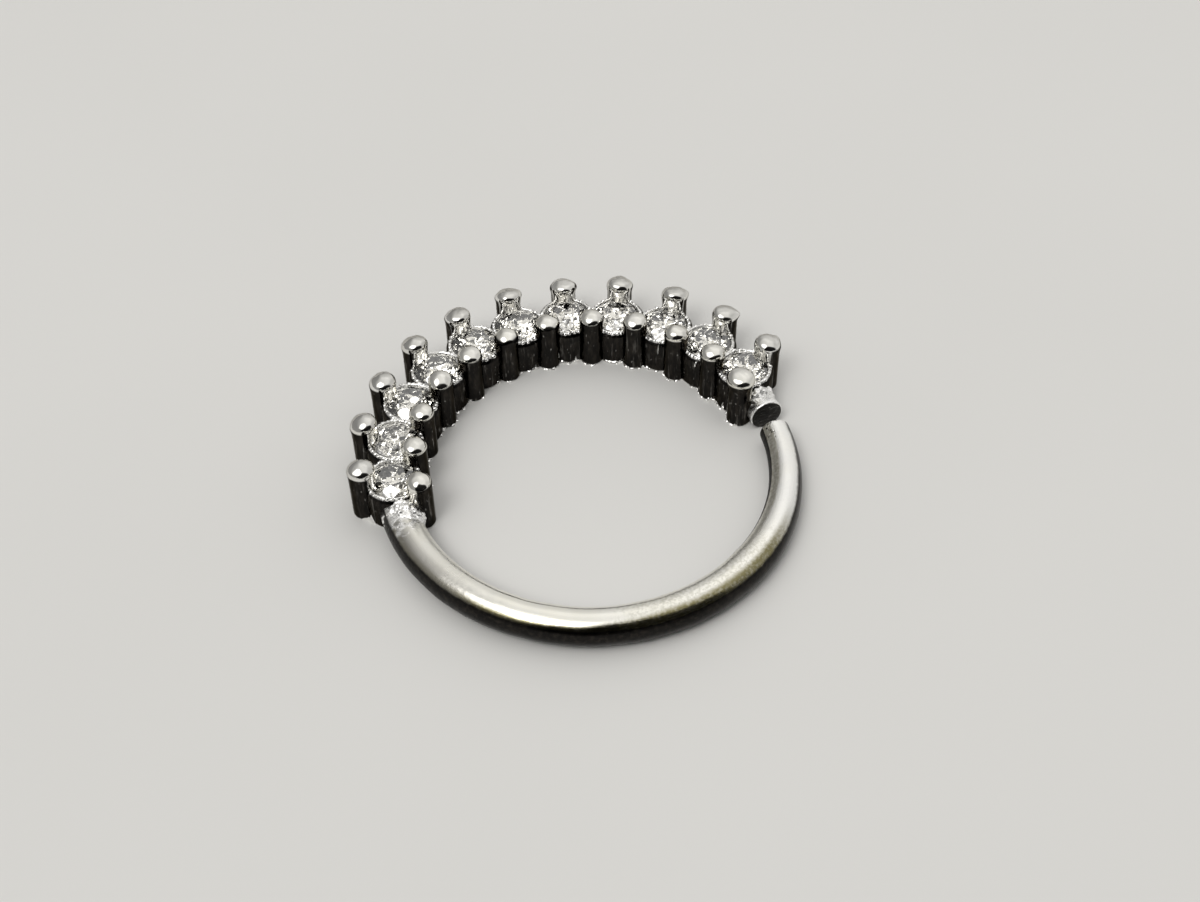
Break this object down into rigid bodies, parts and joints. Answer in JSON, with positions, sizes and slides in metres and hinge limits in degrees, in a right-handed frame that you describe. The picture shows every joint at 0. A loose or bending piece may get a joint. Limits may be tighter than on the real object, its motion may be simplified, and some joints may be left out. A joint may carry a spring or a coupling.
{
  "type": "daith ring",
  "caption": "Bend-open daith hoop of round wire whose far half is a cast gallery of small round clear stones held by round-headed prongs; it lies flat with the stones up.",
  "frame": {"origin": "centre of the ring's box, on the surface that the ring lies on", "axes": "+Z out of the hoop's plane, the way the stones face; +Y from the plain wire towards the middle of the gallery; +X towards the gap"},
  "size_m": [0.0122, 0.0122, 0.0018],
  "materials": {
    "silver": "polished wire and prong heads, cast and less polished between the prongs, frosted at the soldered ends",
    "stone": "clear brilliant-cut cubic zirconia"
  },
  "bodies": {
    "root": {"jewelled_hoop": "silver"}
  },
  "joints": []
}
